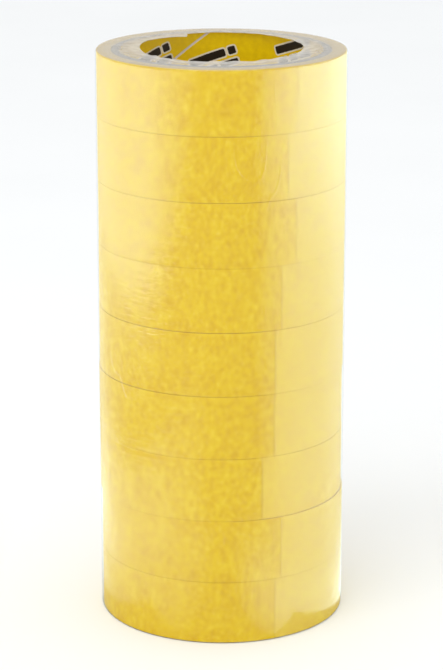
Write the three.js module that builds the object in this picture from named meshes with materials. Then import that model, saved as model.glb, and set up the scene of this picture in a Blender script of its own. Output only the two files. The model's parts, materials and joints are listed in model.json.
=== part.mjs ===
// A shrink-wrapped tower of nine masking tape rolls, standing on its end.
// Units are millimetres, +Z is up along the common axis of the rolls, and the origin is the
// centre of the base, on the surface that the tower stands on. +Y points away from the front.
//
// Each roll is a spiral-wound cardboard core, lined with a printed ply and wound with crepe
// paper tape whose last turn ends in a one-layer step. A clear shrink film holds the rolls:
// a sleeve that turns in over the top roll, and a foot turned in under the bottom roll.
import * as THREE from 'three';

// Rolls
const ROLL_COUNT = 9;
const TAPE_WIDTH = 24;
const BORE_RADIUS = 38.1;
const LINER_WALL = 0.4;
const CORE_WALL = 2.4;
const TAPE_RADIUS = 46.5;
const TAPE_LAYER = 0.13;

// Clearances that keep neighbouring solids apart
const GLUE_GAP = 0.05;
const STACK_GAP = 0.2;
const FILM_GAP = 0.1;

// Shrink film
const FILM_WALL = 0.2;
const FILM_BORE_RADIUS = 47.1;
const FILM_MOUTH_RADIUS = 30.2;

// Straight facets round each ring
const FACETS = 48;

// How each roll lies in the tower, from the bottom one up: where its axis is off the tower's,
// and the bearing of its tape end, in degrees to the right of the front.
const ROLL_LIE = [
  { x: 0.25, y: 0.05, tapeEnd: 25 },
  { x: 0.3, y: -0.05, tapeEnd: 28 },
  { x: -0.2, y: -0.05, tapeEnd: 19 },
  { x: -0.3, y: 0, tapeEnd: 25 },
  { x: -0.05, y: -0.1, tapeEnd: 25 },
  { x: 0, y: 0.05, tapeEnd: 28 },
  { x: 0.1, y: -0.05, tapeEnd: 35.5 },
  { x: 0.05, y: 0.05, tapeEnd: 31 },
  { x: 0, y: 0, tapeEnd: 36 },
];

// Radii and heights that follow from the dimensions above
const LINER_OUTER = BORE_RADIUS + LINER_WALL;
const CORE_INNER = LINER_OUTER + GLUE_GAP;
const CORE_OUTER = LINER_OUTER + CORE_WALL;
const TAPE_INNER = CORE_OUTER + GLUE_GAP;
const FILM_RADIUS = FILM_BORE_RADIUS + FILM_WALL;
const FIRST_ROLL_Z = FILM_WALL + FILM_GAP;
const ROLL_PITCH = TAPE_WIDTH + STACK_GAP;
const TOWER_TOP_Z = FIRST_ROLL_Z + (ROLL_COUNT - 1) * ROLL_PITCH + TAPE_WIDTH;

const CARDBOARD = { color: 0xbdb8ac, roughness: 0.9, metalness: 0 };
const PRINTED_PLY = { color: 0xd9b62a, roughness: 0.6, metalness: 0 };
const CREPE_PAPER = { color: 0xe5c33f, roughness: 0.75, metalness: 0 };
const CLEAR_FILM = { color: 0xf4f1e6, roughness: 0.15, metalness: 0, transparent: true, opacity: 0.3 };

function namedMesh(name, geometry, finish) {
  const mesh = new THREE.Mesh(geometry, new THREE.MeshStandardMaterial(finish));
  mesh.name = name;
  return mesh;
}

// A solid of revolution about +Z. The outline is a list of [radius, z] corners, listed so that
// the material lies on the left of the way round, and it closes on its first corner.
function turned(outline) {
  const corners = [...outline, outline[0]].map(([radius, z]) => new THREE.Vector2(radius, z));
  const geometry = new THREE.LatheGeometry(corners, FACETS);
  geometry.rotateX(Math.PI / 2);
  return geometry;
}

// A plain tube from the height low to the height high.
function tube(innerRadius, outerRadius, low, high) {
  return turned([
    [innerRadius, low],
    [outerRadius, low],
    [outerRadius, high],
    [innerRadius, high],
  ]);
}

// The wound tape, seen from above. The radius grows by one layer in each turn, so the outline
// is one turn of a spiral, and the tape end is the step where that turn closes.
function woundTape(tapeEndDegrees) {
  const endBearing = THREE.MathUtils.degToRad(tapeEndDegrees - 90);
  const outline = new THREE.Shape();
  for (let i = 0; i <= FACETS; i += 1) {
    const share = i / FACETS;
    const radius = TAPE_RADIUS - TAPE_LAYER * (1 - share);
    const bearing = endBearing + share * 2 * Math.PI;
    const x = radius * Math.cos(bearing);
    const y = radius * Math.sin(bearing);
    if (i === 0) outline.moveTo(x, y);
    else outline.lineTo(x, y);
  }
  outline.closePath();

  const hole = new THREE.Path();
  for (let i = 0; i < FACETS; i += 1) {
    const bearing = (i / FACETS) * 2 * Math.PI;
    // The corners lie a little outside the core's, so that the facets clear it at any bearing.
    const radius = TAPE_INNER / Math.cos(Math.PI / FACETS);
    const x = radius * Math.cos(bearing);
    const y = radius * Math.sin(bearing);
    if (i === 0) hole.moveTo(x, y);
    else hole.lineTo(x, y);
  }
  hole.closePath();
  outline.holes.push(hole);
  return new THREE.ExtrudeGeometry(outline, { depth: TAPE_WIDTH, bevelEnabled: false });
}

// One roll: core, printed liner and wound tape, in a group of its own.
function tapeRoll(number, lie) {
  const roll = new THREE.Group();
  const core = tube(CORE_INNER, CORE_OUTER, 0, TAPE_WIDTH);
  const liner = tube(BORE_RADIUS, LINER_OUTER, 0, TAPE_WIDTH);
  roll.add(namedMesh(`roll_${number}_core`, core, CARDBOARD));
  roll.add(namedMesh(`roll_${number}_liner`, liner, PRINTED_PLY));
  roll.add(namedMesh(`roll_${number}_tape`, woundTape(lie.tapeEnd), CREPE_PAPER));
  roll.position.set(lie.x, lie.y, FIRST_ROLL_Z + (number - 1) * ROLL_PITCH);
  return roll;
}

// The sleeve: a tube round all nine rolls that turns in over the top one and leaves a mouth.
function filmSleeve() {
  const low = FIRST_ROLL_Z;
  const underside = TOWER_TOP_Z + FILM_GAP;
  const top = underside + FILM_WALL;
  return turned([
    [FILM_BORE_RADIUS, low],
    [FILM_RADIUS, low],
    [FILM_RADIUS, top],
    [FILM_MOUTH_RADIUS, top],
    [FILM_MOUTH_RADIUS, underside],
    [FILM_BORE_RADIUS, underside],
  ]);
}

// The foot: the film turned in under the bottom roll, which is what the tower stands on.
function filmFoot() {
  return tube(FILM_MOUTH_RADIUS, FILM_RADIUS, 0, FILM_WALL);
}

const tower = new THREE.Group();
ROLL_LIE.slice(0, ROLL_COUNT).forEach((lie, index) => tower.add(tapeRoll(index + 1, lie)));
tower.add(namedMesh('film_sleeve', filmSleeve(), CLEAR_FILM));
tower.add(namedMesh('film_foot', filmFoot(), CLEAR_FILM));

export default tower;
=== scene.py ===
"""Looks for a shrink-wrapped tower of masking tape rolls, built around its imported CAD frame.

Everything is in metres in the frame of the CAD model: +Z is up along the axis of the rolls, and the
front, which shows the tape ends, faces -Y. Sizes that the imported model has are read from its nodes.
"""

import json
import math
import random

import bpy
import numpy as np
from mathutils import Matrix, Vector

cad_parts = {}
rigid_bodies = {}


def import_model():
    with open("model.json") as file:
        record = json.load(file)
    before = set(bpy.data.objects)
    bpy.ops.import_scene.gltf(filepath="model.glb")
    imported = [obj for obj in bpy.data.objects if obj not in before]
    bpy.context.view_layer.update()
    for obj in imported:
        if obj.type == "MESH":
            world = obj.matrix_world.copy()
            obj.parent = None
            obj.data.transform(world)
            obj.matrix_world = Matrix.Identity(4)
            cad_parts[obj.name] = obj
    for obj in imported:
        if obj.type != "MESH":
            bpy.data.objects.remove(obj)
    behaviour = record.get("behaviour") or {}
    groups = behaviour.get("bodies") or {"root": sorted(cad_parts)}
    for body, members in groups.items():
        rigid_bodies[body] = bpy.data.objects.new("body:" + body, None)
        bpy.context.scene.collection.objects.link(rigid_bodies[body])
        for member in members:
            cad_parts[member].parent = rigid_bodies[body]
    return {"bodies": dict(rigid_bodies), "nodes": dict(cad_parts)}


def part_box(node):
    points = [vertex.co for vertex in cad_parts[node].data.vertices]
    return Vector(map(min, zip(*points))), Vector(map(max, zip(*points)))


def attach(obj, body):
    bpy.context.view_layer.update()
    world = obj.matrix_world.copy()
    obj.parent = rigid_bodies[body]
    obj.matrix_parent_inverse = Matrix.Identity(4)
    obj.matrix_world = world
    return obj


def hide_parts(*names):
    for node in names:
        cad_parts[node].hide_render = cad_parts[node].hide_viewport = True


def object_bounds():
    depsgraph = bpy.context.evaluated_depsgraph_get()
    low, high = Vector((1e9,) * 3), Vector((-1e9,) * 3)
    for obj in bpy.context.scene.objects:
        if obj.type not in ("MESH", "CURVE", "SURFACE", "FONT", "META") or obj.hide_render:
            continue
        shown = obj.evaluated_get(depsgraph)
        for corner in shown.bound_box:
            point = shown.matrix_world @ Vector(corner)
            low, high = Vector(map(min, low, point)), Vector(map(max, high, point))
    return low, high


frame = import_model()
cad_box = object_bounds()

MM = 0.001
TURN = 2 * math.pi
SEED = 11

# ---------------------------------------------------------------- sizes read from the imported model


def node_points(node):
    """A CAD node's vertices, as an array of points."""
    return np.array([v.co for v in frame["nodes"][node].data.vertices], float).reshape(-1, 3)


def ring_facts(node, round_node=None):
    """Centre, inner and outer radius, and lowest and highest z of a ring-shaped CAD node.

    The centre is that of round_node where the ring itself is a spiral, whose box is off centre.
    """
    low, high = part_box(round_node or node)
    points = node_points(node)
    centre = np.array([(low.x + high.x) / 2, (low.y + high.y) / 2])
    radius = np.hypot(points[:, 0] - centre[0], points[:, 1] - centre[1])
    return {"x": centre[0], "y": centre[1], "inner": radius.min(), "outer": radius.max(),
            "low": low.z, "high": high.z}


ROLLS = sorted(
    (name for name in frame["bodies"] if name.startswith("roll_")),
    key=lambda name: int(name.split("_")[1]),
)
SLEEVE = ring_facts("film_sleeve")
FOOT = ring_facts("film_foot")
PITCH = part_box(f"{ROLLS[1]}_core")[0].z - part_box(f"{ROLLS[0]}_core")[0].z
BORE_RADIUS = ring_facts("roll_1_liner")["inner"]

# ---------------------------------------------------------------- mesh tools


def grid_solid(name, points, uv, materials, material_of_row, sharp_degrees=40):
    """A closed solid from a grid of points[column, row, xyz] that wraps both ways.

    uv[column, row] is given with one column and one row more than the points, so that it stays
    continuous where the grid closes. material_of_row[row] is the material slot of the faces
    between that row and the next.
    """
    columns, rows = points.shape[:2]
    index = np.arange(columns * rows).reshape(columns, rows)
    next_column = np.roll(index, -1, 0)
    corners = np.stack(
        [index, next_column, np.roll(next_column, -1, 1), np.roll(index, -1, 1)], -1
    )
    faces = corners.reshape(-1, 4)
    mesh = bpy.data.meshes.new(name)
    mesh.from_pydata(points.reshape(-1, 3).tolist(), [], faces.tolist())
    layer = mesh.uv_layers.new(name="Wrap")
    corner_uv = np.stack([uv[:-1, :-1], uv[1:, :-1], uv[1:, 1:], uv[:-1, 1:]], 2)
    layer.data.foreach_set("uv", corner_uv.reshape(-1).astype(np.float32))
    slots = np.tile(np.array(material_of_row, np.int32), columns)
    mesh.polygons.foreach_set("material_index", slots)
    for material in materials:
        mesh.materials.append(material)
    mesh.update()
    mesh.shade_smooth()
    mesh.set_sharp_from_angle(angle=math.radians(sharp_degrees))
    piece = bpy.data.objects.new(name, mesh)
    bpy.context.scene.collection.objects.link(piece)
    return piece


def arc(centre, radius, start_degrees, end_degrees, steps):
    """Points (radius, z) along an arc in the outline's plane."""
    angles = np.radians(np.linspace(start_degrees, end_degrees, steps + 1))
    return [(centre[0] + radius * math.cos(a), centre[1] + radius * math.sin(a)) for a in angles]


def smooth_noise(count, waves, rng):
    """count samples round a circle of a smooth closed noise, between about -1 and 1."""
    angles = np.arange(count) / count * TURN
    total = np.zeros(count)
    for wave in range(1, waves + 1):
        total += rng.gauss(0, 1) / math.sqrt(wave) * np.cos(wave * angles + rng.uniform(0, TURN))
    return total / max(1e-9, np.abs(total).max())


# ---------------------------------------------------------------- node tools


class Graph:
    """A material's node tree with short calls for the nodes that this scene uses."""

    def __init__(self, name):
        self.material = bpy.data.materials.new(name)
        self.material.use_nodes = True
        self.tree = self.material.node_tree
        self.tree.nodes.clear()

    def add(self, kind, inputs=None, **settings):
        made = self.tree.nodes.new(kind)
        for key, value in settings.items():
            setattr(made, key, value)
        for key, value in (inputs or {}).items():
            self.feed(made.inputs[key], value)
        return made

    def feed(self, socket, value):
        if isinstance(value, bpy.types.NodeSocket):
            self.tree.links.new(value, socket)
        else:
            socket.default_value = value

    def math(self, operation, *values, clamp=False):
        made = self.add("ShaderNodeMath", operation=operation, use_clamp=clamp)
        for i, value in enumerate(values):
            self.feed(made.inputs[i], value)
        return made.outputs[0]

    def ramp(self, factor, *stops):
        """A colour ramp through stops of (position, colour)."""
        made = self.add("ShaderNodeValToRGB", {"Fac": factor})
        elements = made.color_ramp.elements
        while len(elements) < len(stops):
            elements.new(0.5)
        for element, (position, colour) in zip(elements, stops):
            element.position = position
            element.color = (*colour, 1)
        return made.outputs["Color"]

    def step(self, value, low, high):
        """0 below low, 1 above high, and smooth between them."""
        made = self.add("ShaderNodeMapRange", interpolation_type="SMOOTHSTEP")
        self.feed(made.inputs["Value"], value)
        self.feed(made.inputs["From Min"], low)
        self.feed(made.inputs["From Max"], high)
        return made.outputs["Result"]

    def mixed(self, factor, a, b, blend="MIX"):
        made = self.add("ShaderNodeMix", data_type="RGBA", blend_type=blend)
        self.feed(made.inputs["Factor"], factor)
        self.feed(made.inputs["A"], a)
        self.feed(made.inputs["B"], b)
        return made.outputs["Result"]

    def scaled(self, vector, *scale):
        """The vector times scale, for a pattern that is longer one way than another."""
        made = self.add("ShaderNodeMapping", {"Vector": vector, "Scale": scale})
        return made.outputs["Vector"]

    def noise(self, vector, scale, detail=2.0, roughness=0.5):
        made = self.add(
            "ShaderNodeTexNoise",
            {"Vector": vector, "Scale": scale, "Detail": detail, "Roughness": roughness},
        )
        return made.outputs["Fac"]

    def bump(self, height, distance, strength=1.0, under=None):
        made = self.add(
            "ShaderNodeBump", {"Height": height, "Distance": distance, "Strength": strength}
        )
        if under is not None:
            self.feed(made.inputs["Normal"], under)
        return made.outputs["Normal"]

    def finish(self, shader):
        output = self.add("ShaderNodeOutputMaterial")
        self.tree.links.new(shader, output.inputs["Surface"])
        return self.material


def srgb(red, green, blue):
    """Linear colour from sRGB values of 0 to 255."""

    def linear(value):
        share = value / 255
        return share / 12.92 if share <= 0.04045 else ((share + 0.055) / 1.055) ** 2.4

    return (linear(red), linear(green), linear(blue))


# ---------------------------------------------------------------- materials


def crepe_paper():
    """The back of the tape: yellow crepe paper, with the creases across the tape, so upright.

    Past the tape end the paper is painted paler, a painted highlight from the step's reflection,
    and the cut edge of the last turn is darkened by a painted shadow of the step.
    """
    g = Graph("crepe_paper")
    place = g.add("ShaderNodeTexCoord").outputs["Object"]
    wrap = g.add("ShaderNodeUVMap", uv_map="Wrap").outputs["UV"]
    past_end = g.add("ShaderNodeSeparateXYZ", {"Vector": wrap}).outputs["X"]
    clouds = g.noise(g.scaled(place, 1, 1, 0.7), 150, 2, 0.5)
    blotches = g.noise(g.scaled(place, 1, 1, 0.8), 480, 3, 0.62)
    flecks = g.noise(g.scaled(place, 1, 1, 0.7), 860, 2, 0.6)
    creases = g.noise(g.scaled(place, 1, 1, 0.4), 1500, 2, 0.6)
    fibres = g.noise(g.scaled(place, 1, 1, 0.7), 2900, 2, 0.7)
    tone = g.math("ADD", g.math("MULTIPLY", blotches, 0.75), g.math("MULTIPLY", clouds, 0.25))
    colour = g.ramp(
        tone, (0.36, srgb(223, 178, 0)), (0.47, srgb(230, 190, 0)), (0.56, srgb(234, 198, 4)),
        (0.67, srgb(240, 209, 40)),
    )
    pale = g.math("MULTIPLY", g.step(flecks, 0.5, 0.7), 0.4)
    colour = g.mixed(pale, colour, (*srgb(242, 213, 70), 1))
    grain = g.math("MULTIPLY", g.step(fibres, 0.5, 0.7), 0.45)
    colour = g.mixed(grain, colour, (*srgb(216, 170, 0), 1))
    # Painted highlight: the paper is painted paler just past the tape end, where the reflection
    # starts at the end's step.
    painted_highlight = g.math("SUBTRACT", 1.0, g.step(past_end, 6.0, 60.0))
    colour = g.mixed(g.math("MULTIPLY", painted_highlight, 0.34), colour, (*srgb(243, 216, 100), 1))
    # Painted shadow: a darker line painted along the cut edge of the last turn, for the shade of the
    # step at the tape end.
    painted_step_shadow = g.math("SUBTRACT", 1.0, g.step(past_end, 0.1, 0.75))
    colour = g.mixed(g.math("MULTIPLY", painted_step_shadow, 0.4), colour, (*srgb(190, 140, 0), 1))
    normal = g.bump(blotches, 0.05 * MM, 0.5)
    normal = g.bump(creases, 0.06 * MM, 0.8, normal)
    normal = g.bump(fibres, 0.03 * MM, 0.6, normal)
    roughness = g.math("ADD", g.math("MULTIPLY", creases, 0.25), 0.42)
    shader = g.add(
        "ShaderNodeBsdfPrincipled",
        {"Base Color": colour, "Roughness": roughness, "Normal": normal,
         "Specular IOR Level": 0.12},
    )
    return g.finish(shader.outputs[0])


def tape_edges(layer):
    """The flat ends of the winding: the edges of the paper and adhesive, turn upon turn."""
    g = Graph("tape_edges")
    place = g.add("ShaderNodeTexCoord").outputs["Object"]
    wrap = g.add("ShaderNodeUVMap", uv_map="Wrap").outputs["UV"]
    across = g.add("ShaderNodeSeparateXYZ", {"Vector": wrap}).outputs["Y"]
    turn = g.math("FRACT", g.math("DIVIDE", across, layer / MM))
    paper = g.step(g.math("PINGPONG", turn, 0.5), 0.1, 0.4)
    band = g.noise(g.add("ShaderNodeCombineXYZ", {"X": across}).outputs[0], 1.4, 4, 0.7)
    band_colour = g.ramp(
        band, (0.3, srgb(212, 182, 112)), (0.5, srgb(226, 200, 132)), (0.7, srgb(236, 214, 154))
    )
    dust = g.noise(place, 1600, 3, 0.65)
    colour = g.mixed(g.math("MULTIPLY", paper, 0.35), band_colour, (*srgb(180, 146, 86), 1))
    colour = g.mixed(g.step(dust, 0.5, 0.8), colour, (*srgb(238, 220, 172), 1))
    normal = g.bump(paper, 0.05 * MM, 0.7)
    normal = g.bump(dust, 0.04 * MM, 0.5, normal)
    roughness = g.math("ADD", g.math("MULTIPLY", dust, 0.3), 0.5)
    shader = g.add(
        "ShaderNodeBsdfPrincipled",
        {"Base Color": colour, "Roughness": roughness, "Normal": normal},
    )
    return g.finish(shader.outputs[0])


def core_board():
    """Grey recycled board: fibres, flecks, and the plies as rings on the core's ends."""
    g = Graph("core_board")
    place = g.add("ShaderNodeTexCoord").outputs["Object"]
    wrap = g.add("ShaderNodeUVMap", uv_map="Wrap").outputs["UV"]
    across = g.add("ShaderNodeSeparateXYZ", {"Vector": wrap}).outputs["Y"]
    ply = g.math("PINGPONG", g.math("DIVIDE", across, 0.6), 0.5)
    glue_line = g.math("SUBTRACT", 1.0, g.step(ply, 0.03, 0.14))
    fibres = g.noise(place, 1900, 4, 0.7)
    flecks = g.noise(place, 900, 1, 0.5)
    colour = g.ramp(
        fibres, (0.3, srgb(136, 131, 124)), (0.5, srgb(154, 150, 144)), (0.7, srgb(170, 167, 161))
    )
    colour = g.mixed(g.step(flecks, 0.66, 0.74), colour, (*srgb(104, 96, 86), 1))
    colour = g.mixed(g.math("MULTIPLY", glue_line, 0.5), colour, (*srgb(106, 98, 88), 1))
    normal = g.bump(fibres, 0.09 * MM, 0.7)
    normal = g.bump(glue_line, -0.08 * MM, 0.6, normal)
    shader = g.add(
        "ShaderNodeBsdfPrincipled",
        {"Base Color": colour, "Roughness": 0.88, "Normal": normal, "Specular IOR Level": 0.3},
    )
    return g.finish(shader.outputs[0])


# The print on the inner ply, in millimetres: one motif of three plain bars, repeated on a
# slanting grid. The ply is wound at HELIX_DEGREES, and its edges meet in one slanting seam.
HELIX_DEGREES = 35
SEAM_HALF_WIDTH = 0.42
MOTIF_ROW_DEGREES = 10
MOTIF_TILT_DEGREES = 8
MOTIF_PITCH = 35.0
MOTIF_ROW_PITCH = 17.5
MOTIF_START = (1.6, -11.5)
MOTIF_BARS = [
    ((-1.6, 2.1), (7.2, 1.5)), ((8.3, 2.1), (1.5, 1.5)),
    ((-6.6, -2.3), (2.2, 1.0)), ((-1.0, -2.3), (2.2, 1.0)), ((6.0, -2.3), (3.6, 1.0)),
]
MOTIF_OUTLINE = 0.6
MOTIF_ROUNDING = 0.6


def turned_axes(g, x, y, degrees):
    """The coordinates x and y in axes turned anticlockwise by degrees."""
    cosine = math.cos(math.radians(degrees))
    sine = math.sin(math.radians(degrees))
    along = g.math("ADD", g.math("MULTIPLY", x, cosine), g.math("MULTIPLY", y, sine))
    across = g.math("SUBTRACT", g.math("MULTIPLY", y, cosine), g.math("MULTIPLY", x, sine))
    return along, across


def distance_to_bar(g, x, y, centre, half):
    """The distance from a point to a bar with rounded corners."""
    away_x = g.math("SUBTRACT", g.math("ABSOLUTE", g.math("SUBTRACT", x, centre[0])),
                    half[0] - MOTIF_ROUNDING)
    away_y = g.math("SUBTRACT", g.math("ABSOLUTE", g.math("SUBTRACT", y, centre[1])),
                    half[1] - MOTIF_ROUNDING)
    outside_x = g.math("MAXIMUM", away_x, 0.0)
    outside_y = g.math("MAXIMUM", away_y, 0.0)
    squared = g.math("ADD", g.math("MULTIPLY", outside_x, outside_x),
                     g.math("MULTIPLY", outside_y, outside_y))
    return g.math("SUBTRACT", g.math("SQRT", squared), MOTIF_ROUNDING)


def motif_distance(g, along, down):
    """The distance from a point of the ply to the nearest motif of the print."""
    x = g.math("SUBTRACT", along, MOTIF_START[0])
    y = g.math("SUBTRACT", down, MOTIF_START[1])
    x, y = turned_axes(g, x, y, MOTIF_ROW_DEGREES)
    row = g.math("ROUND", g.math("DIVIDE", y, MOTIF_ROW_PITCH))
    x = g.math("ADD", x, g.math("MULTIPLY", row, MOTIF_PITCH / 2))
    x = g.math("SUBTRACT", x, g.math("MULTIPLY", g.math("ROUND", g.math("DIVIDE", x, MOTIF_PITCH)),
                                     MOTIF_PITCH))
    y = g.math("SUBTRACT", y, g.math("MULTIPLY", row, MOTIF_ROW_PITCH))
    x, y = turned_axes(g, x, y, MOTIF_TILT_DEGREES)
    nearest = None
    for centre, half in MOTIF_BARS:
        distance = distance_to_bar(g, x, y, centre, half)
        nearest = distance if nearest is None else g.math("MINIMUM", nearest, distance)
    return nearest


def printed_ply():
    """The glossy yellow print of the inner ply, its motif, and the pale seam between its edges."""
    g = Graph("printed_ply")
    place = g.add("ShaderNodeTexCoord").outputs["Object"]
    wrap = g.add("ShaderNodeUVMap", uv_map="Wrap").outputs["UV"]
    split = g.add("ShaderNodeSeparateXYZ", {"Vector": wrap})
    along, down = split.outputs["X"], split.outputs["Y"]
    clouds = g.noise(place, 420, 3, 0.6)
    yellow = g.ramp(
        clouds, (0.3, srgb(236, 200, 0)), (0.55, srgb(244, 209, 0)), (0.75, srgb(249, 217, 6))
    )
    fray = g.math("MULTIPLY", g.math("SUBTRACT", g.noise(place, 2600, 2, 0.6), 0.5), 0.5)
    distance = g.math("ADD", motif_distance(g, along, down), fray)
    outline = g.math("SUBTRACT", 1.0, g.step(distance, MOTIF_OUTLINE - 0.08, MOTIF_OUTLINE + 0.08))
    ink = g.math("SUBTRACT", 1.0, g.step(distance, -0.08, 0.08))
    colour = g.mixed(outline, yellow, (*srgb(236, 230, 214), 1))
    colour = g.mixed(ink, colour, (*srgb(34, 27, 20), 1))
    _, from_seam = turned_axes(g, along, down, HELIX_DEGREES)
    width = TURN * BORE_RADIUS / MM * math.sin(math.radians(HELIX_DEGREES))
    to_seam = g.math("PINGPONG", from_seam, width / 2)
    seam = g.math("SUBTRACT", 1.0, g.step(g.math("ADD", to_seam, fray), SEAM_HALF_WIDTH - 0.1,
                                          SEAM_HALF_WIDTH + 0.1))
    colour = g.mixed(seam, colour, (*srgb(222, 214, 216), 1))
    fibres = g.noise(place, 2400, 3, 0.6)
    normal = g.bump(fibres, 0.02 * MM, 0.5)
    roughness = g.math("ADD", g.math("MULTIPLY", fibres, 0.2), g.math("MULTIPLY", seam, 0.3))
    shader = g.add(
        "ShaderNodeBsdfPrincipled",
        {"Base Color": colour, "Roughness": g.math("ADD", roughness, 0.28), "Normal": normal,
         "Specular IOR Level": 0.3},
    )
    return g.finish(shader.outputs[0])


def shrink_film():
    """Clear glossy film, milky where it has shrunk most: over the ends and round the rims."""
    g = Graph("shrink_film")
    place = g.add("ShaderNodeTexCoord").outputs["Object"]
    wrap = g.add("ShaderNodeUVMap", uv_map="Wrap").outputs["UV"]
    milk = g.add("ShaderNodeSeparateXYZ", {"Vector": wrap}).outputs["Y"]
    pulled = g.noise(g.scaled(place, 1, 1, 0.3), 260, 3, 0.6)
    creases = g.noise(g.scaled(place, 1, 1, 0.6), 1300, 2, 0.65)
    normal = g.bump(creases, 0.06 * MM, 1.0)
    normal = g.bump(pulled, 0.05 * MM, 0.6, normal)
    ripples = g.noise(g.scaled(place, 0.15, 0.15, 1), 750, 2, 0.6)
    normal = g.bump(ripples, 0.08 * MM, 0.8, normal)
    folds = g.noise(g.scaled(place, 1, 1, 0.4), 75, 1, 0.4)
    fold_line = g.math("SUBTRACT", 1.0, g.step(g.math("ABSOLUTE", g.math("SUBTRACT", folds, 0.5)),
                                               0.0, 0.012))
    wrinkled = g.step(g.noise(place, 38, 1, 0.5), 0.56, 0.66)
    normal = g.bump(g.math("MULTIPLY", fold_line, wrinkled), 0.12 * MM, 0.8, normal)
    facing = g.add("ShaderNodeLayerWeight", {"Blend": 0.5, "Normal": normal}).outputs["Facing"]
    mirror = g.math("ADD", g.math("MULTIPLY", g.math("POWER", facing, 5.0), 0.18), 0.024)
    clear = g.add("ShaderNodeBsdfTransparent", {"Color": (0.99, 0.99, 0.985, 1)})
    gloss = g.add("ShaderNodeBsdfAnisotropic", {"Roughness": 0.09, "Normal": normal})
    glossy_film = g.add("ShaderNodeMixShader", {0: mirror, 1: clear.outputs[0], 2: gloss.outputs[0]})
    milk_colour = g.ramp(pulled, (0.35, srgb(222, 219, 212)), (0.65, srgb(236, 233, 226)))
    dull = g.add("ShaderNodeBsdfDiffuse", {"Color": milk_colour})
    haze = g.math("MULTIPLY", milk, g.math("ADD", g.math("MULTIPLY", pulled, 0.6), 0.7))
    shader = g.add("ShaderNodeMixShader", {0: haze, 1: glossy_film.outputs[0], 2: dull.outputs[0]})
    return g.finish(shader.outputs[0])


def studio_floor():
    """A plain pale sweep, with a faint unevenness."""
    g = Graph("studio_floor")
    place = g.add("ShaderNodeTexCoord").outputs["Object"]
    grain = g.noise(place, 6, 2, 0.5)
    colour = g.ramp(grain, (0.3, srgb(249, 250, 250)), (0.7, srgb(251, 252, 252)))
    shader = g.add(
        "ShaderNodeBsdfPrincipled",
        {"Base Color": colour, "Roughness": 0.85, "Specular IOR Level": 0.1},
    )
    return g.finish(shader.outputs[0])


# ---------------------------------------------------------------- the rolls

COLUMNS = 192
STEP_ARC = 0.05 * MM
EDGE_ROUNDING = 0.16 * MM
SIDE_ROWS = 10
RINGS_PER_END = 20
END_RAGGEDNESS = 0.05 * MM
SIDE_SWAY = 0.03 * MM
GAP_ABOVE_ROLL = [hundredths / 100 * MM for hundredths in (6, 2, 2, 8, 6, 2, 6, 6)]
SPIRAL_LAYER = 0.13 * MM
SHUT_GAP = 0.02 * MM
BACK_GAP = 0.1 * MM
CORE_ROUNDING = 0.2 * MM
PLY_RISES = [0, 0.05 * MM, 0.01 * MM, 0.06 * MM, 0]
LINER_ROWS = 12
SEAM_GROOVE = 0.12 * MM
TOP_SEAM_DEGREES = -7.4


def stretch_to_neighbours(roll, facts):
    """Lets a roll's pieces reach up and down until only GAP_ABOVE_ROLL is left at each seam."""
    number = ROLLS.index(roll)
    cad_gap = PITCH - (facts["high"] - facts["low"])
    facts["gap_below"] = facts["gap_above"] = 0
    if number > 0:
        facts["gap_below"] = GAP_ABOVE_ROLL[number - 1]
        facts["low"] -= (cad_gap - facts["gap_below"]) / 2
    if number < len(ROLLS) - 1:
        facts["gap_above"] = GAP_ABOVE_ROLL[number]
        facts["high"] += (cad_gap - facts["gap_above"]) / 2
    return facts


def seam_gap(bearing, front_gap):
    """How wide a seam stands at a bearing: pulled shut right of the front, more open behind."""
    return np.interp(np.degrees(bearing) % 360, [12, 40, 70, 95, 275, 290],
                     [front_gap, SHUT_GAP, SHUT_GAP, BACK_GAP, BACK_GAP, front_gap])


def tape_end_bearing(node, facts):
    """The bearing of the tape end, in radians to the right of the front.

    The CAD outline is a spiral, whose radius is the most at the tape end.
    """
    points = node_points(node)
    x = points[:, 0] - facts["x"]
    y = points[:, 1] - facts["y"]
    farthest = np.argmax(np.hypot(x, y))
    return math.atan2(x[farthest], -y[farthest])


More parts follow.
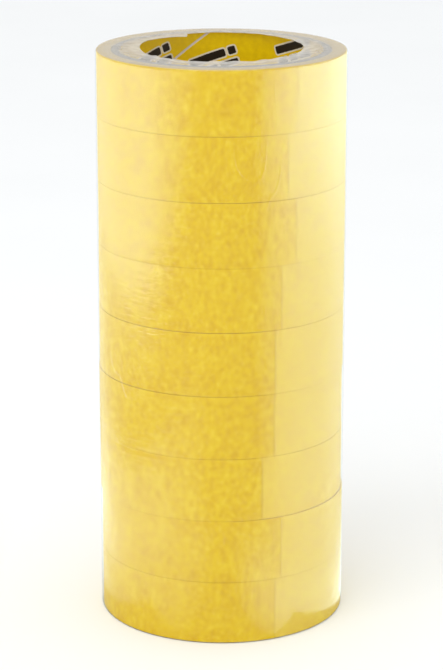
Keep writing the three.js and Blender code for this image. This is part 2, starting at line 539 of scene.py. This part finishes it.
def wound_tape(roll, crepe, edges, rng):
    """One wound tape: a spiral outline with its end step, rounded rims and ragged ends."""
    node = f"{roll}_tape"
    facts = stretch_to_neighbours(roll, ring_facts(node, f"{roll}_core"))
    end = tape_end_bearing(node, facts)
    low, high = facts["low"], facts["high"]
    outer, inner = facts["outer"], facts["inner"]

    outline = []
    radial = np.linspace(0, 1, RINGS_PER_END)
    rim = EDGE_ROUNDING
    flat_outer = outer - rim
    top_jitter = [rng.gauss(0, 1) * END_RAGGEDNESS for _ in radial]
    bottom_jitter = [rng.gauss(0, 1) * END_RAGGEDNESS for _ in radial]
    for share, jitter in zip(radial, bottom_jitter):
        outline.append((inner + share * (flat_outer - inner), low + abs(jitter), share))
    outline += [(r, z, 1) for r, z in arc((flat_outer, low + rim), rim, -70, 0, 3)]
    for row in range(1, SIDE_ROWS):
        outline.append((outer, low + rim + row / SIDE_ROWS * (high - low - 2 * rim), 1))
    outline += [(r, z, 1) for r, z in arc((flat_outer, high - rim), rim, 0, 70, 3)]
    for share, jitter in zip(radial[::-1], top_jitter):
        outline.append((inner + share * (flat_outer - inner), high - abs(jitter), share))
    outline = np.array(outline)

    turn = np.linspace(0, TURN - STEP_ARC / outer, COLUMNS)
    growth = SPIRAL_LAYER * (1 - turn / TURN)
    sway = smooth_noise(COLUMNS, 9, rng) * SIDE_SWAY * np.sin(turn / 2)
    radius = outline[None, :, 0] - (growth - sway)[:, None] * outline[None, :, 2]
    bearing = end + turn
    upward = np.clip((outline[:, 1] - low) / (high - low), 0, 1)[None, :]
    height = np.broadcast_to(outline[None, :, 1], radius.shape)
    for gap, share in ((facts["gap_above"], upward), (facts["gap_below"], upward - 1)):
        if gap:
            height = height + share * (gap - seam_gap(bearing, gap))[:, None] / 2
    points = np.stack(
        [facts["x"] + radius * np.sin(bearing)[:, None],
         facts["y"] - radius * np.cos(bearing)[:, None], height], -1)

    along = np.append(turn, TURN) * outer / MM
    across = np.append(outline[:, 0], outline[0, 0]) / MM
    inset = SPIRAL_LAYER / MM * (1 - np.append(turn, TURN) / TURN)
    uv = np.stack(np.broadcast_arrays(along[:, None], across[None, :] - inset[:, None]), -1)
    rows = len(outline)
    side = range(RINGS_PER_END, rows - RINGS_PER_END)
    slots = [0 if row in side else 1 for row in range(rows)]
    piece = grid_solid(f"{roll}_wound_tape", points, uv, [crepe, edges], slots)
    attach(piece, roll)
    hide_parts(node)
    return facts


def core_tube(roll, board):
    """The cardboard tube, with softened edges and the ends slightly raised ply by ply."""
    node = f"{roll}_core"
    facts = stretch_to_neighbours(roll, ring_facts(node))
    low, high = facts["low"], facts["high"]
    inner, outer = facts["inner"], facts["outer"]
    soft = CORE_ROUNDING
    ply = (outer - inner - 2 * soft) / (len(PLY_RISES) - 1)
    outline = [(inner, low + soft)]
    for i, rise in enumerate(PLY_RISES):
        outline.append((inner + soft + i * ply, low + rise))
    outline += [(outer, low + soft), (outer, (low + high) / 2), (outer, high - soft)]
    for i, rise in enumerate(PLY_RISES):
        outline.append((outer - soft - i * ply, high - rise))
    outline += [(inner, high - soft), (inner, (low + high) / 2)]
    outline = np.array(outline)
    turn = np.arange(COLUMNS) / COLUMNS * TURN
    points = np.stack(
        [facts["x"] + outline[None, :, 0] * np.sin(turn)[:, None],
         facts["y"] - outline[None, :, 0] * np.cos(turn)[:, None],
         np.broadcast_to(outline[None, :, 1], (COLUMNS, len(outline)))], -1)
    along = np.append(turn, TURN) * outer / MM
    across = (np.append(outline[:, 0], outline[0, 0]) - inner) / MM
    uv = np.stack(np.broadcast_arrays(along[:, None], across[None, :]), -1)
    piece = grid_solid(f"{roll}_core_tube", points, uv, [board], [0] * len(outline))
    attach(piece, roll)
    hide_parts(node)


def liner_ply(roll, print_material, board, seam_bearing):
    """The printed ply. Its columns lean with the winding, so that the seam is a real groove."""
    node = f"{roll}_liner"
    facts = stretch_to_neighbours(roll, ring_facts(node))
    low, high = facts["low"], facts["high"]
    inner, outer = facts["inner"], facts["outer"]
    heights = np.linspace(low, high, LINER_ROWS)
    outline = [(outer, z) for z in heights] + [(inner, z) for z in heights[::-1]]
    outline = np.array(outline)
    half = SEAM_HALF_WIDTH * MM / math.sin(math.radians(HELIX_DEGREES)) / inner
    turn = np.concatenate([[0, half * 0.8, half * 1.1],
                           np.linspace(half * 1.1, TURN - half * 1.1, COLUMNS)[1:],
                           [TURN - half * 0.8]])
    groove = np.where((turn < half) | (turn > TURN - half), SEAM_GROOVE, 0)
    lean = (outline[:, 1] - high) / (inner * math.tan(math.radians(HELIX_DEGREES)))
    bearing = seam_bearing + lean[None, :] + turn[:, None]
    on_inside = outline[:, 0] < (inner + outer) / 2
    radius = outline[None, :, 0] + groove[:, None] * on_inside[None, :]
    points = np.stack(
        [facts["x"] + radius * np.sin(bearing),
         facts["y"] + radius * np.cos(bearing),
         np.broadcast_to(outline[None, :, 1], radius.shape)], -1)
    around = (np.append(turn, TURN)[:, None] + np.append(lean, lean[0])[None, :]) * inner / MM
    height = (np.append(outline[:, 1], outline[0, 1]) - high) / MM
    uv = np.stack(np.broadcast_arrays(around, height[None, :]), -1)
    inside = range(LINER_ROWS, 2 * LINER_ROWS - 1)
    slots = [0 if row in inside else 1 for row in range(len(outline))]
    piece = grid_solid(f"{roll}_printed_ply", points, uv, [print_material, board], slots)
    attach(piece, roll)
    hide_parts(node)


# ---------------------------------------------------------------- the film

FILM_WALL = 0.06 * MM
FILM_COLUMNS = 320
FILM_HUG = 0.44 * MM
RIM_ROUNDING = 1.0 * MM
SEAM_DIP = 0.04 * MM
END_MILK = 0.34
MOUTH_BACKSET = 6.4 * MM
MOUTH_SAG = 0.7 * MM
MOUTH_UNEVENNESS = 0.5 * MM
MOUTH_RIPPLE = 0.22 * MM
MOUTH_SLOPE = 0.12 * MM
FOOT_BACKSET = -2 * MM
SLEEVE_TAB = 4 * MM
FOOT_TAB = 2 * MM
TAB_DEGREES = (206, 244)
TAB_CUT_DEGREES = 4
END_ROWS = 14
END_CLEARANCE = 0.05 * MM
GAP_OVER_FOOT = 0.15 * MM
STRAIGHT_UNDER_RIM = 0.6 * MM
# How the wall dips at a seam: (millimetres above it, share of SEAM_DIP).
DIP_SHAPE = ((-2.2, 0), (-0.9, 0.4), (0, 1), (0.9, 0.4), (2.2, 0))


def mouth_radius(turn, inner, tab_depth, rng):
    """The radius of the film's mouth round its own centre: uneven, with one tab left by the cut."""
    start, end = TAB_DEGREES
    rise = np.clip((np.degrees(turn) - start) / TAB_CUT_DEGREES, 0, 1)
    fall = np.clip((end - np.degrees(turn)) / (end - start), 0, 1)
    uneven = smooth_noise(len(turn), 11, rng) * MOUTH_UNEVENNESS
    return inner + uneven - tab_depth * rise * fall


def film_skin(name, body, node, side, rim, end_z, backset, tab_depth, rng):
    """A thin closed skin: up the side, round the rim and over the end to the mouth.

    side and rim are lists of (radius, z) points. The end runs from the rim's last point to the
    mouth, which is a hole with its centre set back from the axis. It sags past the bore's edge.
    """
    turn = np.arange(FILM_COLUMNS) / FILM_COLUMNS * TURN
    out = np.stack([np.sin(turn), -np.cos(turn)], -1)
    centre = np.array([0, backset])
    mouth = centre + mouth_radius(turn, SLEEVE["inner"], tab_depth, rng)[:, None] * out
    ripple = smooth_noise(FILM_COLUMNS, 36, rng) * MOUTH_RIPPLE
    upward = 1 if end_z > cad_box[1].z / 2 else -1

    turned = np.array(side + rim)
    skin = np.concatenate(
        [turned[None, :, 0, None] * out[:, None, :],
         np.broadcast_to(turned[None, :, 1, None], (FILM_COLUMNS, len(turned), 1))], -1)
    shares = np.linspace(0, 1, END_ROWS + 1)[1:]
    start = turned[-1, 0] * out
    flat = start[:, None] * (1 - shares[None, :, None]) + mouth[:, None] * shares[None, :, None]
    reach = np.hypot(flat[..., 0], flat[..., 1])
    loose = np.clip((BORE_RADIUS - reach) / (BORE_RADIUS - SLEEVE["inner"]), 0, 1.3)
    drop = MOUTH_SAG * loose ** 1.5 + (ripple[:, None] + MOUTH_SLOPE) * loose
    end = np.concatenate([flat, (end_z - upward * drop)[..., None]], -1)
    skin = np.concatenate([skin, end], 1)

    along_path = np.gradient(skin, axis=1)
    around = np.roll(skin, -1, 0) - np.roll(skin, 1, 0)
    normal = np.cross(around, along_path) * upward
    normal /= np.linalg.norm(normal, axis=2)[..., None]
    wall = np.full(skin.shape[1], FILM_WALL)
    wall[-2:] = (1.6 * FILM_WALL, 2.6 * FILM_WALL)
    offset = normal * wall[None, :, None] / 2
    both = np.concatenate([skin - offset, (skin + offset)[:, ::-1]], 1)

    milk = np.concatenate(
        [np.zeros(len(side)), np.linspace(0, 0.7, len(rim)) ** 1.5,
         np.linspace(0.6, 1.25, END_ROWS)]) * END_MILK
    milk = np.concatenate([milk, milk[::-1], milk[:1]])
    along = np.append(turn, TURN) * SLEEVE["outer"] / MM
    uv = np.stack(np.broadcast_arrays(along[:, None], milk[None, :]), -1)
    if upward < 0:
        both, uv = both[:, ::-1], uv[:, ::-1]
    piece = grid_solid(name, both, uv, [FILM], [0] * both.shape[1], 50)
    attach(piece, body)
    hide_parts(node)


def film_pieces(seam_heights, rng):
    """The sleeve, which dips into each seam, and the foot, which ends just under its edge."""
    wall_radius = SLEEVE["outer"] - FILM_HUG
    top = SLEEVE["high"] - END_CLEARANCE
    bottom = FOOT["low"] + END_CLEARANCE
    split = bottom + RIM_ROUNDING + GAP_OVER_FOOT

    side = [(wall_radius, split)]
    for seam in seam_heights:
        for away, dip in DIP_SHAPE:
            side.append((wall_radius - dip * SEAM_DIP, seam + away * MM))
    side.append((wall_radius, top - RIM_ROUNDING - STRAIGHT_UNDER_RIM))
    rim = arc((wall_radius - RIM_ROUNDING, top - RIM_ROUNDING), RIM_ROUNDING, 0, 90, 6)
    film_skin("film_sleeve_skin", "film", "film_sleeve", side, rim, top, MOUTH_BACKSET,
              SLEEVE_TAB, rng)
    rim = arc((wall_radius - RIM_ROUNDING, bottom + RIM_ROUNDING), RIM_ROUNDING, 0, -90, 6)
    film_skin("film_foot_skin", "roll_1", "film_foot", [], rim, bottom, FOOT_BACKSET,
              FOOT_TAB, rng)


# ---------------------------------------------------------------- studio

PANEL_TINT = (0.62, 0.86, 1.0)


def studio():
    """A round floor that reaches past every view, and the white room as the world's light."""
    floor_mesh = bpy.data.meshes.new("studio_floor")
    reach, corners = 8.0, 96
    ring = [(reach * math.cos(a), reach * math.sin(a), 0)
            for a in np.arange(corners) / corners * TURN]
    floor_mesh.from_pydata(ring, [], [list(range(corners))])
    floor_mesh.materials.append(studio_floor())
    floor = bpy.data.objects.new("studio_floor", floor_mesh)
    bpy.context.scene.collection.objects.link(floor)

    world = bpy.data.worlds.new("studio_world")
    world.use_nodes = True
    background = world.node_tree.nodes["Background"]
    background.inputs["Color"].default_value = (0.98, 0.99, 1.0, 1)
    background.inputs["Strength"].default_value = 0.95
    bpy.context.scene.world = world


def area_light(name, place, aim, size, radiance):
    """A rectangular softbox. radiance is what a mirror would show of it."""
    data = bpy.data.lights.new(name, "AREA")
    data.shape = "RECTANGLE"
    data.size, data.size_y = size
    data.energy = radiance * math.pi * size[0] * size[1]
    light = bpy.data.objects.new(name, data)
    light.location = place
    light.rotation_mode = "QUATERNION"
    light.rotation_quaternion = (Vector(aim) - Vector(place)).to_track_quat("-Z", "Y")
    light.visible_camera = False
    bpy.context.scene.collection.objects.link(light)
    return light


def graded_panel(name, place, aim, size, radiance, grades):
    """A softbox that only reflections show, graded across the studio.

    grades gives, for each axis named, stops of (coordinate, share); the axes' shares multiply.
    """
    panel = area_light(name, place, aim, size, radiance)
    panel.visible_diffuse = False
    panel.data.color = PANEL_TINT
    panel.data.use_nodes = True
    tree = panel.data.node_tree
    position = tree.nodes.new("ShaderNodeNewGeometry").outputs["Position"]
    split = tree.nodes.new("ShaderNodeSeparateXYZ")
    tree.links.new(position, split.inputs[0])
    total = tree.nodes["Emission"].inputs["Strength"]
    for axis, stops in grades.items():
        span = tree.nodes.new("ShaderNodeMapRange")
        span.inputs["From Min"].default_value = stops[0][0]
        span.inputs["From Max"].default_value = stops[-1][0]
        grade = tree.nodes.new("ShaderNodeValToRGB")
        elements = grade.color_ramp.elements
        while len(elements) < len(stops):
            elements.new(0.5)
        for element, (where, share) in zip(elements, stops):
            element.position = (where - stops[0][0]) / (stops[-1][0] - stops[0][0])
            element.color = (share, share, share, 1)
        product = tree.nodes.new("ShaderNodeMath")
        product.operation = "MULTIPLY"
        product.inputs[1].default_value = 1
        tree.links.new(split.outputs[axis], span.inputs["Value"])
        tree.links.new(span.outputs["Result"], grade.inputs["Fac"])
        tree.links.new(grade.outputs["Color"], product.inputs[0])
        tree.links.new(product.outputs[0], total)
        total = product.inputs[1]


# How a softbox fades along an axis of the studio: stops of (coordinate in metres, share).
LEFT_FADE = [(-1.1, 0), (-0.84, 0.08), (-0.616, 0.19), (-0.47, 0.28), (-0.361, 0.4), (-0.29, 0.55),
             (-0.21, 0.76), (-0.146, 0.9), (-0.08, 1), (0.1, 0.75), (0.4, 0.08), (0.65, 0)]
LEFT_FOOT = [(0, 0.18), (0.042, 0.18), (0.046, 1), (0.25, 1)]
LEFT_EDGE_FADE = [(-0.03, 0), (0.005, 0.55), (0.04, 1), (0.08, 0.8), (0.2, 0.1)]
LEFT_FLOOR_FADE = [(-0.4, 0), (-0.2, 0.35), (-0.1, 0.8), (0, 1), (0.1, 0.6), (0.2, 0)]
RIGHT_FADE = [(-0.17, 0), (-0.12, 0.33), (-0.08, 0.66), (-0.05, 0.86), (-0.02, 0.94),
              (0.012, 0.9), (0.035, 0.62), (0.1, 0.25), (0.25, 0.05)]
RIGHT_RISE = [(0, 0.42), (0.1, 0.46), (0.134, 0.55), (0.19, 0.95), (0.25, 1)]


def wall_panel(name, x, y, z, size, radiance, grades):
    """An upright softbox that faces the tower's axis plane from the side."""
    graded_panel(name, (x, y, z), (0, y, z), size, radiance, grades)


def floor_panel(name, x, y, size, radiance, grades):
    """A softbox that lies on the floor, for the highlights of the lowest rolls."""
    lift = 1 * MM
    graded_panel(name, (x, y, lift), (x, y, 1), size, radiance, grades)


def softboxes():
    """The big soft light of the room is the world; these give it a direction and the highlights.

    The left panel stands off the tower, so that its lower edge shows on the rolls. The others
    stand close to it, just outside the picture, and lie on the floor, so that their highlights
    reach down to the lowest roll.
    """
    area_light("key", (-0.5, -0.8, 1.4), (0, 0, 0.1), (1.0, 1.0), 2.0)
    wall_panel("left_panel", -0.35, -0.225, 0.125, (1.75, 0.25), 5.1,
               {"Y": LEFT_FADE, "Z": LEFT_FOOT})
    floor_panel("left_floor_panel", -0.144, -0.1, (0.172, 0.6), 2.5,
                {"X": [(-0.23, 0.9), (-0.12, 1), (-0.085, 0.7), (-0.058, 0.5)],
                 "Y": LEFT_FLOOR_FADE})
    wall_panel("left_edge_panel", -0.09, 0.085, 0.121, (0.23, 0.24), 1.4, {"Y": LEFT_EDGE_FADE})
    wall_panel("right_panel", 0.09, 0.04, 0.121, (0.42, 0.24), 7.2,
               {"Y": RIGHT_FADE, "Z": RIGHT_RISE})
    floor_panel("right_floor_panel", 0.0692, 0.04, (0.0415, 0.42), 3.6, {"Y": RIGHT_FADE})
    floor_panel("right_front_floor_panel", 0.0343, -0.1075, (0.0285, 0.125), 3.6,
                {"X": [(0.02, 0.25), (0.0485, 1)], "Y": RIGHT_FADE})
    floor_panel("left_front_floor_panel", -0.039, -0.11, (0.038, 0.12), 1.3,
                {"X": [(-0.058, 1), (-0.02, 0.2)]})


CAMERA_LENS = 137.3
CAMERA_ELEVATION = math.radians(15.9)
CAMERA_DISTANCE = 0.977
AIM_BELOW_CENTRE = 1.6 * MM


def camera(low, high):
    """A long lens in front of the tower, looking down on its top."""
    data = bpy.data.cameras.new("camera")
    data.lens = CAMERA_LENS
    eye = bpy.data.objects.new("camera", data)
    aim = (low + high) / 2 - Vector((0, 0, AIM_BELOW_CENTRE))
    back = Vector((0, -math.cos(CAMERA_ELEVATION), math.sin(CAMERA_ELEVATION)))
    eye.location = aim + back * CAMERA_DISTANCE
    eye.rotation_mode = "QUATERNION"
    eye.rotation_quaternion = (-back).to_track_quat("-Z", "Y")
    bpy.context.scene.collection.objects.link(eye)
    bpy.context.scene.camera = eye


# ---------------------------------------------------------------- putting it together

FILM = shrink_film()
CREPE = crepe_paper()
EDGES = tape_edges(SPIRAL_LAYER)
BOARD = core_board()
PRINT = printed_ply()

rng = random.Random(SEED)
tapes = [wound_tape(roll, CREPE, EDGES, rng) for roll in ROLLS]
for roll in ROLLS:
    core_tube(roll, BOARD)
    top_roll = roll == ROLLS[-1]
    seam = math.radians(TOP_SEAM_DEGREES) if top_roll else rng.uniform(0, TURN)
    liner_ply(roll, PRINT, BOARD, seam)
film_pieces([(a["high"] + b["low"]) / 2 for a, b in zip(tapes, tapes[1:])], rng)

studio()
softboxes()
camera(*cad_box)
bpy.context.scene.view_settings.view_transform = "Standard"
